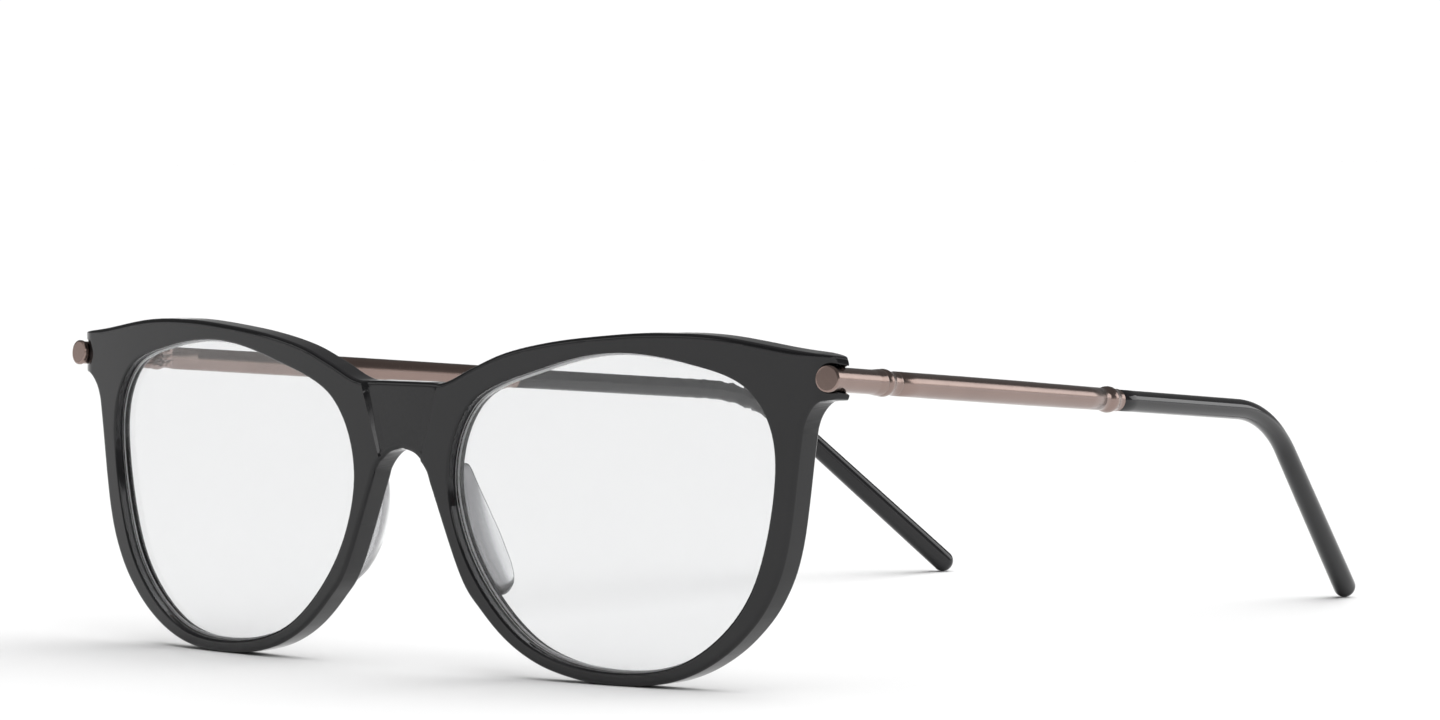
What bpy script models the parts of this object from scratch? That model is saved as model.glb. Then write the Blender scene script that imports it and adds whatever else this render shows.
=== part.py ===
"""Eyeglasses: a thick moulded front, two lenses, and metal tube temples on hinges.

Every piece is one closed solid. Left is the wearer's left, at +X. The front faces -Y and
the temples run towards +Y. Sizes are in metres and angles in degrees.
"""

import math

import bmesh
import bpy
from mathutils import Matrix, Vector

# Lenses and the rims around them
LENS_WIDTH = 0.0498
LENS_HEIGHT = 0.0390
NOSE_GAP = 0.0168  # between the two lens openings
RIM_SIDE = 0.0031
RIM_BOTTOM = 0.0016
RIM_NOSE = 0.0024
FRONT_DEPTH = 0.0036
FACE_CURVE_RADIUS = 0.344  # the front follows this cylinder
EDGE_ROUNDING = 0.00035
LENS_THICKNESS = 0.0012
LENS_INTO_RIM = 0.0006
SEAT_GAP = 0.0003  # glue line or seat between two fixed pieces

# Bridge
BRIDGE_HEIGHT = 0.0084
BRIDGE_BELOW_LENS_TOP = 0.0043
BRIDGE_RECESS = 0.0010
BRIDGE_RECESS_HALF_LOW = 0.0028  # half the recess's width, 4 mm under the bridge
BRIDGE_RECESS_HALF_HIGH = 0.0075  # and 2 mm over its top
BRIDGE_WALL_LEAN = 0.43  # how far its side walls lean, per depth

# Endpieces and the barrels that lie in their notches
BARREL_PAST_LENS = 0.0078  # from the lens opening's outer side to the barrel's axis
BARREL_ABOVE_LENS_CENTRE = 0.0171
END_PAST_BARREL = 0.0002
END_ABOVE_BARREL = 0.0027
END_BELOW_BARREL = 0.0026
BARREL_RADIUS = 0.0015
BARREL_BORE = 0.0011
BARREL_LENGTH = 0.0122
NOTCH_CLEARANCE = 0.0002
CAP_LIP = 0.00014  # how far the disc stands out past the barrel all round
CAP_THICKNESS = 0.0004
CAP_PROUD = 0.0007

# Temples
TEMPLE_TURNED_IN = 9.7
TEMPLE_SLOPE = 4.9
TEMPLE_BORE = 0.00102
BEAD_RADIUS = 0.00172
NECK_RADIUS = 0.00138
FRONT_BEAD_LENGTH = 0.0034
TUBE_LENGTH = 0.0524
TUBE_RADIUS_MIDDLE = 0.00153
TUBE_RADIUS_BACK = 0.00146
REAR_BEAD_LENGTH = 0.0048
EAR_DISTANCE = 0.1176  # from the cap along the temple to the corner of the ear bend
EAR_BEND_RADIUS = 0.030
TIP_TURNED_IN = 16.9
TIP_SLOPE = 39.2
TIP_RADIUS_FRONT = 0.0014
TIP_RADIUS_BEND = 0.00136
TIP_RADIUS_END = 0.00158
CORE_WIRE_RADIUS = 0.00055
CORE_PLUG_RADIUS = 0.00092
JOINT_GAP = 0.00015

# Hinges
HINGE_OFFSET = 0.0031  # from the barrel's axis to the hinge axis
KNUCKLE_RADIUS = 0.00125
KNUCKLE_HEIGHT = 0.0007
KNUCKLE_GAP = 0.0001
HINGE_SCREW_RADIUS = 0.00055
RUNNING_CLEARANCE = 0.00007
SCREW_HEAD_RADIUS = 0.0010
SCREW_HEAD_HEIGHT = 0.0003
LEAF_THICKNESS = 0.0010
LEAF_LENGTH = 0.0056
LEAF_HEIGHT = 0.0014
BASE_PLATE_THICKNESS = 0.0008
BASE_PLATE_WIDTH = 0.0058
BASE_PLATE_HEIGHT = 0.0040
BASE_PLATE_DROP = 0.0002  # its middle below the barrel's axis
ANCHOR_RADIUS = 0.0005
ANCHOR_HEAD_RADIUS = 0.0009
ANCHOR_DEPTH = 0.0022
ANCHOR_SPACING = 0.0021

# Nose pads
PAD_LENGTH = 0.0165
PAD_WIDTH = 0.0022
PAD_STAND_OFF = 0.0046
PAD_CENTRE_BELOW_LENS_CENTRE = 0.0031
PAD_WIDEST_AT = 0.33  # share of the pad's length, from its bottom

ROUND_SIDES = 18
WIRE_SIDES = 10
LENS_STEPS = 5

# The lens outline, as shares of the half width and half height, counterclockwise
LENS_SHAPE = (
    (1.00, 0.34),
    (0.86, 0.78),
    (0.49, 0.95),
    (0.05, 1.00),
    (-0.39, 0.89),
    (-0.84, 0.66),
    (-1.00, 0.18),
    (-0.86, -0.39),
    (-0.49, -0.85),
    (0.00, -1.00),
    (0.49, -0.90),
    (0.86, -0.45),
)
# The brow line: share of the lens half width, and height over the lens opening's top
BROW_LINE = (
    (1.07, 0.0010),
    (0.67, 0.0024),
    (0.30, 0.0026),
    (-0.05, 0.0020),
    (-0.35, 0.0011),
    (-0.62, -0.0003),
    (-0.84, -0.0023),
)


# ---- Derived places ----

LENS_X = NOSE_GAP / 2 + LENS_WIDTH / 2
LENS_Z = RIM_BOTTOM + LENS_HEIGHT / 2
LENS_TOP_Z = LENS_Z + LENS_HEIGHT / 2
BARREL_X = NOSE_GAP / 2 + LENS_WIDTH + BARREL_PAST_LENS
BARREL_Z = LENS_Z + BARREL_ABOVE_LENS_CENTRE
CAP_RADIUS = BARREL_RADIUS + CAP_LIP
GROOVE_DEPTH = LENS_INTO_RIM + SEAT_GAP
GROOVE_WIDTH = LENS_THICKNESS + 2 * SEAT_GAP
JOINT_AT = BARREL_LENGTH
TUBE_AT = JOINT_AT + FRONT_BEAD_LENGTH + 2 * JOINT_GAP
REAR_BEAD_AT = TUBE_AT + TUBE_LENGTH + JOINT_GAP
TIP_AT = REAR_BEAD_AT + REAR_BEAD_LENGTH + JOINT_GAP


def direction(turned_in, slope):
    """A unit vector that runs back, turned in towards the wearer's head and down."""
    level = math.cos(math.radians(slope))
    return Vector(
        (
            -math.sin(math.radians(turned_in)) * level,
            math.cos(math.radians(turned_in)) * level,
            -math.sin(math.radians(slope)),
        )
    )


TEMPLE_AXIS = direction(TEMPLE_TURNED_IN, TEMPLE_SLOPE)
TIP_AXIS = direction(TIP_TURNED_IN, TIP_SLOPE)
OUTWARD = TEMPLE_AXIS.cross(Vector((0, 0, 1))).normalized()
TEMPLE_UP = OUTWARD.cross(TEMPLE_AXIS)
LEVEL_BACK = Vector((TEMPLE_AXIS.x, TEMPLE_AXIS.y, 0)).normalized()
CAP_FACE = Vector((BARREL_X, -CAP_PROUD, BARREL_Z))
HINGE = CAP_FACE + TEMPLE_AXIS * JOINT_AT - OUTWARD * HINGE_OFFSET


# ---- Materials ----


def make_material(name, colour, roughness, metallic, transmission=0.0):
    material = bpy.data.materials.new(name)
    material.use_nodes = True
    shader = material.node_tree.nodes["Principled BSDF"]
    shader.inputs["Base Color"].default_value = (*colour, 1.0)
    shader.inputs["Roughness"].default_value = roughness
    shader.inputs["Metallic"].default_value = metallic
    shader.inputs["Transmission Weight"].default_value = transmission
    return material


# ---- Curves ----


def curve_point(before, start, end, after, t):
    """A point of the Catmull-Rom curve between start and end."""
    a = 2 * start
    b = (end - before) * t
    c = (2 * before - 5 * start + 4 * end - after) * t * t
    d = (3 * start - before - 3 * end + after) * t**3
    return 0.5 * (a + b + c + d)


def smooth_loop(points, steps):
    count = len(points)
    curve = []
    for i in range(count):
        four = [points[(i + k) % count] for k in (-1, 0, 1, 2)]
        curve += [curve_point(*four, step / steps) for step in range(steps)]
    return curve


def smooth_run(points, steps):
    ends = [2 * points[0] - points[1], *points, 2 * points[-1] - points[-2]]
    curve = []
    for i in range(len(points) - 1):
        four = ends[i : i + 4]
        curve += [curve_point(*four, step / steps) for step in range(steps)]
    return [*curve, points[-1]]


def outward_normals(loop):
    """The outward normal at each point of a counterclockwise loop."""
    count = len(loop)
    normals = []
    for i in range(count):
        along = loop[(i + 1) % count] - loop[i - 1]
        normals.append(Vector((along.y, -along.x)).normalized())
    return normals


def lens_outline(grow=0.0):
    """The left lens opening's outline in X and Z, grown outwards."""
    half = (LENS_WIDTH / 2, LENS_HEIGHT / 2)
    points = [Vector((LENS_X + u * half[0], LENS_Z + v * half[1])) for u, v in LENS_SHAPE]
    loop = smooth_loop(points, LENS_STEPS)
    return [p + n * grow for p, n in zip(loop, outward_normals(loop))]


def rim_outline():
    """The rim's outer outline, whose width changes from nose to side to bottom."""
    loop = lens_outline()
    outline = []
    for point, normal in zip(loop, outward_normals(loop)):
        across = RIM_SIDE if normal.x > 0 else RIM_NOSE
        outline.append(point + normal * (across * normal.x**2 + RIM_BOTTOM * normal.y**2))
    return outline


def front_outline():
    """The whole front's outer outline, counterclockwise from the bridge's underside."""
    top = LENS_TOP_Z
    bridge_top = top - BRIDGE_BELOW_LENS_TOP
    bridge_under = bridge_top - BRIDGE_HEIGHT
    nose_x = NOSE_GAP / 2 - RIM_NOSE
    end_x = BARREL_X + END_PAST_BARREL
    end_top = BARREL_Z + END_ABOVE_BARREL
    end_under = BARREL_Z - END_BELOW_BARREL
    side_x = NOSE_GAP / 2 + LENS_WIDTH + RIM_SIDE
    arch = [
        Vector((0, bridge_under)),
        Vector((0.40 * nose_x, bridge_under - 0.0007)),
        Vector((0.73 * nose_x, bridge_under - 0.0026)),
        Vector((0.91 * nose_x, bridge_under - 0.0051)),
    ]
    rim = rim_outline()
    lower = [p for p in rim[7 * LENS_STEPS :: 2] if p.y < arch[-1].y - 0.001]
    end_sweep = [
        Vector((side_x + 0.0003, end_under - 0.0060)),
        Vector((side_x + 0.0008, end_under - 0.0032)),
        Vector((side_x + 0.0017, end_under - 0.0014)),
        Vector((end_x - 0.0020, end_under - 0.0003)),
        Vector((end_x - 0.0006, end_under)),
        Vector((end_x, end_under + 0.0006)),
        Vector((end_x, end_top - 0.0006)),
        Vector((end_x - 0.0006, end_top)),
    ]
    lower = [p for p in lower if p.x < LENS_X or p.y < end_sweep[0].y - 0.0015]
    brow = [Vector((LENS_X + u * LENS_WIDTH / 2, top + up)) for u, up in BROW_LINE]
    bridge = [
        Vector((0.92 * NOSE_GAP / 2, bridge_top + 0.0001)),
        Vector((0.46 * NOSE_GAP / 2, bridge_top)),
        Vector((0, bridge_top)),
    ]
    half = smooth_run([*arch, *lower, *end_sweep, *brow, *bridge], 2)
    other = [Vector((-p.x, p.y)) for p in reversed(half[1:-1])]
    return half + other


# ---- Solids ----


def finish_mesh(bm, name, material):
    """Makes an object of the bmesh, closed, with its faces pointing out."""
    bmesh.ops.remove_doubles(bm, verts=bm.verts, dist=1e-7)
    bmesh.ops.recalc_face_normals(bm, faces=bm.faces)
    mesh = bpy.data.meshes.new(name)
    bm.to_mesh(mesh)
    bm.free()
    obj = bpy.data.objects.new(name, mesh)
    bpy.context.scene.collection.objects.link(obj)
    if material is None:
        obj.hide_render = True
        obj.display_type = "WIRE"
    else:
        mesh.materials.append(material)
        mesh.shade_smooth()
        mesh.set_sharp_from_angle(angle=math.radians(35))
    return obj


def make_slab(name, outline, low_y, high_y, material=None):
    """A flat solid with this outline in X and Z, between two depths in Y."""
    bm = bmesh.new()
    face = bm.faces.new([bm.verts.new((p.x, low_y, p.y)) for p in outline])
    moved = bmesh.ops.extrude_face_region(bm, geom=[face])["geom"]
    ends = [v for v in moved if isinstance(v, bmesh.types.BMVert)]
    bmesh.ops.translate(bm, verts=ends, vec=(0, high_y - low_y, 0))
    return finish_mesh(bm, name, material)


def make_loft(name, rings, material=None):
    """Joins rings of points, with a face at each end."""
    bm = bmesh.new()
    loops = [[bm.verts.new(p) for p in ring] for ring in rings]
    for first, second in zip(loops, loops[1:]):
        count = len(first)
        for i in range(count):
            k = (i + 1) % count
            bm.faces.new((first[i], first[k], second[k], second[i]))
    bm.faces.new(list(reversed(loops[0])))
    bm.faces.new(loops[-1])
    return finish_mesh(bm, name, material)


def rounded_rings(outline, sign):
    """Rings of an outline through the front, pulled in or out round both its faces."""
    eased = 1 - math.sqrt(0.5)
    near = ((0, 1), (eased, eased), (1, 0))
    steps = [(EDGE_ROUNDING * deep, EDGE_ROUNDING * off) for deep, off in near]
    steps += [(FRONT_DEPTH - deep, off) for deep, off in reversed(steps)]
    normals = outward_normals(outline)
    rings = []
    for y, off in steps:
        points = [p + n * (sign * off) for p, n in zip(outline, normals)]
        rings.append([Vector((p.x, y, p.y)) for p in points])
    return rings


def make_turned(name, profile, start, axis, material=None, bored=False):
    """Spins a profile of (distance along, radius) about an axis.

    A bored profile is a closed loop; any other starts and ends on the axis.
    """
    side = axis.orthogonal().normalized()
    bm = bmesh.new()
    verts = [bm.verts.new(start + axis * along + side * radius) for along, radius in profile]
    edges = [bm.edges.new(pair) for pair in zip(verts, verts[1:])]
    if bored:
        edges.append(bm.edges.new((verts[-1], verts[0])))
    bmesh.ops.spin(
        bm,
        geom=verts + edges,
        cent=start,
        axis=axis,
        angle=math.tau,
        steps=ROUND_SIDES,
        use_merge=True,
    )
    bmesh.ops.dissolve_degenerate(bm, dist=1e-7, edges=bm.edges)
    return finish_mesh(bm, name, material)


def make_box(name, centre, sizes, axes, material=None):
    """A box with its sides along three given axes."""
    bm = bmesh.new()
    bmesh.ops.create_cube(bm, size=1.0)
    turn = Matrix(axes).transposed().to_4x4()
    scale = Matrix.Diagonal((*sizes, 1.0))
    bm.transform(Matrix.Translation(centre) @ turn @ scale)
    return finish_mesh(bm, name, material)


def rod(length, radius):
    return [(0, 0), (0, radius), (length, radius), (length, 0)]


def boolean(obj, cutter, operation="DIFFERENCE"):
    modifier = obj.modifiers.new(cutter.name, "BOOLEAN")
    modifier.operation = operation
    modifier.solver = "MANIFOLD"
    modifier.object = cutter


def apply_modifiers(obj, *helpers):
    """Keeps the modified mesh and removes the helper objects that shaped it."""
    graph = bpy.context.evaluated_depsgraph_get()
    graph.update()
    mesh = bpy.data.meshes.new_from_object(obj.evaluated_get(graph))
    old = obj.data
    obj.modifiers.clear()
    obj.data = mesh
    mesh.name = obj.name
    bpy.data.meshes.remove(old)
    for helper in helpers:
        bpy.data.objects.remove(helper)
    return obj


def face_depth(x):
    """How far back the curved front lies at this distance from the middle."""
    return (x * x - BARREL_X * BARREL_X) / (2 * FACE_CURVE_RADIUS)


def bend_to_face(obj, sign=1):
    """Lays a flat solid on the front's curve, or with -1 takes it off again."""
    bm = bmesh.new()
    bm.from_mesh(obj.data)
    if sign > 0:
        bmesh.ops.triangulate(bm, faces=bm.faces)
    for vert in bm.verts:
        vert.co.y += sign * face_depth(vert.co.x)
    bm.to_mesh(obj.data)
    bm.free()
    return obj


def mirror_copy(obj, name):
    """The other side's piece, as its own object."""
    mesh = obj.data.copy()
    mesh.name = name
    mesh.transform(Matrix.Diagonal((-1, 1, 1, 1)))
    mesh.flip_normals()
    copy = bpy.data.objects.new(name, mesh)
    copy.hide_render = obj.hide_render
    copy.display_type = obj.display_type
    bpy.context.scene.collection.objects.link(copy)
    return copy


# ---- The front and what is fixed to it ----


def make_notch_cutter():
    """A slot along the barrel, round inside and open to the outer side."""
    radius = CAP_RADIUS + NOTCH_CLEARANCE
    profile = []
    for step in range(13):
        angle = math.radians(90 + 15 * step)
        profile.append((radius * math.cos(angle), radius * math.sin(angle)))
    profile += [(0.004, -radius), (0.004, radius)]
    rings = []
    for along in (-0.003, 0.009):
        centre = CAP_FACE + TEMPLE_AXIS * along
        rings.append([centre + OUTWARD * a + TEMPLE_UP * b for a, b in profile])
    return bend_to_face(make_loft("notch_cutter", rings), -1)


def make_bridge_recess():
    """A tapered pocket that sets the bridge's face back from the rims."""
    top = LENS_TOP_Z - BRIDGE_BELOW_LENS_TOP
    under = top - BRIDGE_HEIGHT
    deep = BRIDGE_RECESS
    lean = BRIDGE_WALL_LEAN * deep
    rings = []
    for z, half in ((under - 0.004, BRIDGE_RECESS_HALF_LOW), (top + 0.002, BRIDGE_RECESS_HALF_HIGH)):
        rings.append(
            [
                Vector((-half - lean, -deep, z)),
                Vector((half + lean, -deep, z)),
                Vector((half - lean, deep, z)),
                Vector((-half + lean, deep, z)),
            ]
        )
    return make_loft("bridge_recess_cutter", rings)


def anchor_places():
    """Where the two anchor screws go, as X and Z, one over the other."""
    x = BARREL_X - CAP_RADIUS - BASE_PLATE_WIDTH + 0.0008
    middle = BARREL_Z - BASE_PLATE_DROP
    return [Vector((x, middle + side * ANCHOR_SPACING / 2)) for side in (1, -1)]


def make_anchor_hole(place, radius, low_y, high_y):
    hole = [(0, 0), (0, radius), (high_y - low_y, radius), (high_y - low_y, 0)]
    start = Vector((place.x, low_y, place.y))
    return make_turned("anchor_hole", hole, start, Vector((0, 1, 0)))


def opening_rings(past):
    """The lens opening, flared at both faces and run past them."""
    rings = rounded_rings(lens_outline(), 1)
    before = [p - Vector((0, past, 0)) for p in rings[0]]
    after = [p + Vector((0, past, 0)) for p in rings[-1]]
    return [before, *rings, after]


def make_front(acetate):
    front = make_loft("front_frame", rounded_rings(front_outline(), -1), acetate)
    past = 0.003
    opening = make_loft("opening_left", opening_rings(past))
    notch = make_notch_cutter()
    outer = [opening, mirror_copy(opening, "opening_right"), notch]
    outer += [mirror_copy(notch, "notch_right"), make_bridge_recess()]
    middle = FRONT_DEPTH / 2
    low, high = middle - GROOVE_WIDTH / 2, middle + GROOVE_WIDTH / 2
    groove = make_slab("groove_left", lens_outline(GROOVE_DEPTH), low, high)
    inner = [groove, mirror_copy(groove, "groove_right")]
    for place in anchor_places():
        radius = ANCHOR_RADIUS + RUNNING_CLEARANCE
        hole = make_anchor_hole(place, radius, FRONT_DEPTH - ANCHOR_DEPTH, FRONT_DEPTH + past)
        inner += [hole, mirror_copy(hole, "anchor_hole_right")]
    for cutter in outer + inner:
        boolean(front, cutter)
    apply_modifiers(front, *outer, *inner)
    return bend_to_face(front)


def make_lens(glass):
    """A thin plate whose edge lies in the rim's groove."""
    edge = lens_outline(LENS_INTO_RIM)
    centre = Vector((LENS_X, LENS_Z))
    low = FRONT_DEPTH / 2 - LENS_THICKNESS / 2
    high = FRONT_DEPTH / 2 + LENS_THICKNESS / 2
    rings = []
    for share, y in ((0.2, low), (0.6, low), (1, low), (1, high), (0.6, high), (0.2, high)):
        points = [centre + (p - centre) * share for p in edge]
        rings.append([Vector((p.x, y, p.y)) for p in points])
    return bend_to_face(make_loft("lens_left", rings, glass))


def make_nose_pad(clear):
    """A leaf-shaped pad on the back of the rim, along the nose."""
    rim = rim_outline()
    inner = lens_outline()
    centre_z = LENS_Z - PAD_CENTRE_BELOW_LENS_CENTRE
    middle_line = [(a + b) / 2 for a, b in zip(rim, inner)]
    nose_side = [p for p in middle_line if p.x < LENS_X - LENS_WIDTH / 4]
    nose_side = [p for p in nose_side if abs(p.y - centre_z) < 0.7 * PAD_LENGTH]
    nose_side.sort(key=lambda p: p.y)
    sections = 13
    skew = math.log(0.5) / math.log(PAD_WIDEST_AT)
    rings = []
    for i in range(sections):
        share = i / (sections - 1)
        z = centre_z + (share - 0.5) * PAD_LENGTH
        low = max((p for p in nose_side if p.y <= z), key=lambda p: p.y)
        high = min((p for p in nose_side if p.y > z), key=lambda p: p.y)
        x = low.x + (high.x - low.x) * (z - low.y) / (high.y - low.y)
        swell = math.sin(math.pi * (0.06 + 0.88 * share**skew)) ** 0.7
        half = PAD_WIDTH / 2 * (0.45 + 0.55 * swell)
        rise = PAD_STAND_OFF * swell
        base = FRONT_DEPTH + SEAT_GAP + face_depth(x)
        ring = [Vector((x - half, base, z)), Vector((x + half, base, z))]
        for step in range(1, 8):
            angle = math.pi * step / 8
            lean = 0.35 * rise * math.sin(angle)
            ring.append(
                Vector((x + half * math.cos(angle) + lean, base + rise * math.sin(angle), z))
            )
        rings.append(ring)
    return make_loft("nose_pad_left", rings, clear)


def make_cap(metal):
    """The round disc that shows in the notch, with a plug that enters the barrel."""
    plug = BARREL_BORE - RUNNING_CLEARANCE
    chamfer = 0.00012
    profile = [
        (0, 0),
        (0, CAP_RADIUS - chamfer),
        (chamfer, CAP_RADIUS),
        (CAP_THICKNESS, CAP_RADIUS),
        (CAP_THICKNESS, plug),
        (0.0022, plug),
        (0.0022, 0),
    ]
    return make_turned("barrel_cap_left", profile, CAP_FACE, TEMPLE_AXIS, metal)


def make_barrel(metal):
    start = CAP_THICKNESS + JOINT_GAP
    end = JOINT_AT - JOINT_GAP / 2
    profile = [
        (start, BARREL_RADIUS),
        (end - 0.0014, BARREL_RADIUS),
        (end - 0.0007, BARREL_RADIUS + 0.0001),
        (end - 0.0002, BARREL_RADIUS + 0.00012),
        (end, BARREL_RADIUS),
        (end, BARREL_BORE),
        (start, BARREL_BORE),
    ]
    return make_turned("end_barrel_left", profile, CAP_FACE, TEMPLE_AXIS, metal, True)


def knuckle(name, low, high, radius):
    """An upright cylinder on the hinge axis, between two heights about its middle."""
    return make_turned(name, rod(high - low, radius), HINGE + Vector((0, 0, low)), Vector((0, 0, 1)))


def make_front_hinge(metal):
    """A base plate on the front's back, an arm beside the barrel and two knuckles."""
    axes = (OUTWARD, LEVEL_BACK, Vector((0, 0, 1)))
    half = KNUCKLE_HEIGHT / 2
    low = half + KNUCKLE_GAP
    high = low + KNUCKLE_HEIGHT
    beside = HINGE_OFFSET - BARREL_RADIUS - SEAT_GAP - LEAF_THICKNESS / 2
    base_y = FRONT_DEPTH + SEAT_GAP
    outer_x = BARREL_X - CAP_RADIUS - 0.0009
    inner_x = outer_x - BASE_PLATE_WIDTH
    foot_y = base_y + face_depth(outer_x)
    reach = (HINGE.y - foot_y) / LEVEL_BACK.y - BASE_PLATE_THICKNESS / 2
    arm_centre = HINGE + OUTWARD * beside - LEVEL_BACK * (reach / 2)
    arm = make_box("arm", arm_centre, (LEAF_THICKNESS, reach, 2 * high - 0.0002), axes)
    arm.hide_render = False
    arm.name = "front_hinge_left"
    arm.data.materials.append(metal)
    middle_z = BARREL_Z - BASE_PLATE_DROP
    corners = [(inner_x, -1), (outer_x, -1), (outer_x, 1), (inner_x, 1)]
    outline = [Vector((x, middle_z + s * BASE_PLATE_HEIGHT / 2)) for x, s in corners]
    plate = bend_to_face(make_slab("plate", outline, base_y, base_y + BASE_PLATE_THICKNESS))
    upper = knuckle("upper", low, high, KNUCKLE_RADIUS)
    lower = knuckle("lower", -high, -low, KNUCKLE_RADIUS)
    for piece in (plate, upper, lower):
        boolean(arm, piece, "UNION")
    room = knuckle("room", -low, low, KNUCKLE_RADIUS + KNUCKLE_GAP)
    bore = knuckle("bore", -0.004, 0.004, HINGE_SCREW_RADIUS + RUNNING_CLEARANCE)
    cutters = [room, bore]
    for place in anchor_places():
        hole = make_anchor_hole(place, ANCHOR_RADIUS + RUNNING_CLEARANCE, 0, 0.008)
        cutters.append(hole)
    for cutter in cutters:
        boolean(arm, cutter)
    return apply_modifiers(arm, plate, upper, lower, *cutters)


def make_slotted_screw(name, start, axis, shank, length, head, head_height, metal):
    """A screw with its shank from start along the axis, and a slotted head on top."""
    rim = 0.0001
    profile = [
        (0, 0),
        (0, shank),
        (length, shank),
        (length, head),
        (length + head_height - rim, head),
        (length + head_height, head - rim),
        (length + head_height, 0),
    ]
    screw = make_turned(name, profile, start, axis, metal)
    side = axis.orthogonal().normalized()
    centre = start + axis * (length + head_height)
    sizes = (0.003, 0.00028, 2 * 0.4 * head_height)
    slot = make_box("slot", centre, sizes, (side, axis.cross(side), axis))
    boolean(screw, slot)
    return apply_modifiers(screw, slot)


def make_anchor_screws(metal):
    screws = []
    for place, name in zip(anchor_places(), ("upper", "lower")):
        slope = place.x / FACE_CURVE_RADIUS
        axis = Vector((0, 1, 0))
        start_y = FRONT_DEPTH - ANCHOR_DEPTH + SEAT_GAP + face_depth(place.x)
        seat_y = FRONT_DEPTH + SEAT_GAP + BASE_PLATE_THICKNESS + face_depth(place.x)
        length = seat_y + SEAT_GAP / 2 + slope * ANCHOR_HEAD_RADIUS - start_y
        start = Vector((place.x, start_y, place.y))
        screws.append(
            make_slotted_screw(
                f"anchor_screw_{name}_left",
                start,
                axis,
                ANCHOR_RADIUS,
                length,
                ANCHOR_HEAD_RADIUS,
                0.0004,
                metal,
            )
        )
    return screws


def make_hinge_screw(metal):
    half = KNUCKLE_HEIGHT / 2 + KNUCKLE_GAP + KNUCKLE_HEIGHT
    return make_slotted_screw(
        "hinge_screw_left",
        HINGE - Vector((0, 0, half)),
        Vector((0, 0, 1)),
        HINGE_SCREW_RADIUS,
        2 * half + KNUCKLE_GAP,
        SCREW_HEAD_RADIUS,
        SCREW_HEAD_HEIGHT,
        metal,
    )


# ---- Temples ----


def make_temple_hinge(metal):
    """A leaf beside the tube with the hinge's middle knuckle."""
    axes = (OUTWARD, LEVEL_BACK, Vector((0, 0, 1)))
    half = KNUCKLE_HEIGHT / 2
    beside = HINGE_OFFSET - BEAD_RADIUS - SEAT_GAP - LEAF_THICKNESS / 2
    drop = TEMPLE_AXIS.z * LEAF_LENGTH / 2
    centre = HINGE + OUTWARD * beside + LEVEL_BACK * (LEAF_LENGTH / 2)
    centre.z += drop
    sizes = (LEAF_THICKNESS, LEAF_LENGTH, LEAF_HEIGHT)
    leaf = make_box("leaf", centre, sizes, axes)
    leaf.hide_render = False
    leaf.name = "temple_hinge_left"
    leaf.data.materials.append(metal)
    middle = knuckle("middle", -half, half, KNUCKLE_RADIUS)
    boolean(leaf, middle, "UNION")
    radius = KNUCKLE_RADIUS + KNUCKLE_GAP
    above = knuckle("above", half, 0.004, radius)
    below = knuckle("below", -0.004, -half, radius)
    bore = knuckle("bore", -0.005, 0.005, HINGE_SCREW_RADIUS + RUNNING_CLEARANCE)
    for cutter in (above, below, bore):
        boolean(leaf, cutter)
    return apply_modifiers(leaf, middle, above, below, bore)


def make_spigot(metal):
    """The rod inside that carries the bead and the tube."""
    radius = TEMPLE_BORE - RUNNING_CLEARANCE
    start = CAP_FACE + TEMPLE_AXIS * (JOINT_AT + 0.0004)
    return make_turned("temple_spigot_left", rod(0.012, radius), start, TEMPLE_AXIS, metal)


def make_front_bead(metal):
    start = JOINT_AT + JOINT_GAP / 2
    end = JOINT_AT + FRONT_BEAD_LENGTH + JOINT_GAP
    profile = [
        (start, BARREL_RADIUS),
        (start + 0.0004, BEAD_RADIUS - 0.00006),
        (start + 0.0008, BEAD_RADIUS),
        (start + 0.0013, BEAD_RADIUS - 0.00006),
        (start + 0.0017, BARREL_RADIUS - 0.00004),
        (start + 0.0020, NECK_RADIUS),
        (end - 0.0005, NECK_RADIUS),
        (end, BARREL_RADIUS),
        (end, TEMPLE_BORE),
        (start, TEMPLE_BORE),
    ]
    return make_turned("front_bead_left", profile, CAP_FACE, TEMPLE_AXIS, metal, True)


def make_tube(metal):
    end = TUBE_AT + TUBE_LENGTH
    profile = [
        (TUBE_AT, BARREL_RADIUS),
        (TUBE_AT + 0.25 * TUBE_LENGTH, TUBE_RADIUS_MIDDLE),
        (TUBE_AT + 0.6 * TUBE_LENGTH, TUBE_RADIUS_MIDDLE),
        (end, TUBE_RADIUS_BACK),
        (end, TEMPLE_BORE),
        (TUBE_AT, TEMPLE_BORE),
    ]
    return make_turned("temple_tube_left", profile, CAP_FACE, TEMPLE_AXIS, metal, True)


def make_rear_bead(metal):
    start = REAR_BEAD_AT
    end = REAR_BEAD_AT + REAR_BEAD_LENGTH
    bore = CORE_WIRE_RADIUS + RUNNING_CLEARANCE
    profile = [
        (start, TUBE_RADIUS_BACK),
        (start + 0.0004, NECK_RADIUS),
        (start + 0.0011, NECK_RADIUS),
        (start + 0.0014, BARREL_RADIUS),
        (start + 0.0019, BEAD_RADIUS - 0.00005),
        (start + 0.0025, BEAD_RADIUS),
        (start + 0.0031, BEAD_RADIUS - 0.00005),
        (start + 0.0036, BARREL_RADIUS),
        (end - 0.0006, TIP_RADIUS_FRONT + 0.00005),
        (end, TIP_RADIUS_FRONT),
        (end, bore),
        (start, bore),
    ]
    return make_turned("rear_bead_left", profile, CAP_FACE, TEMPLE_AXIS, metal, True)


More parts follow.
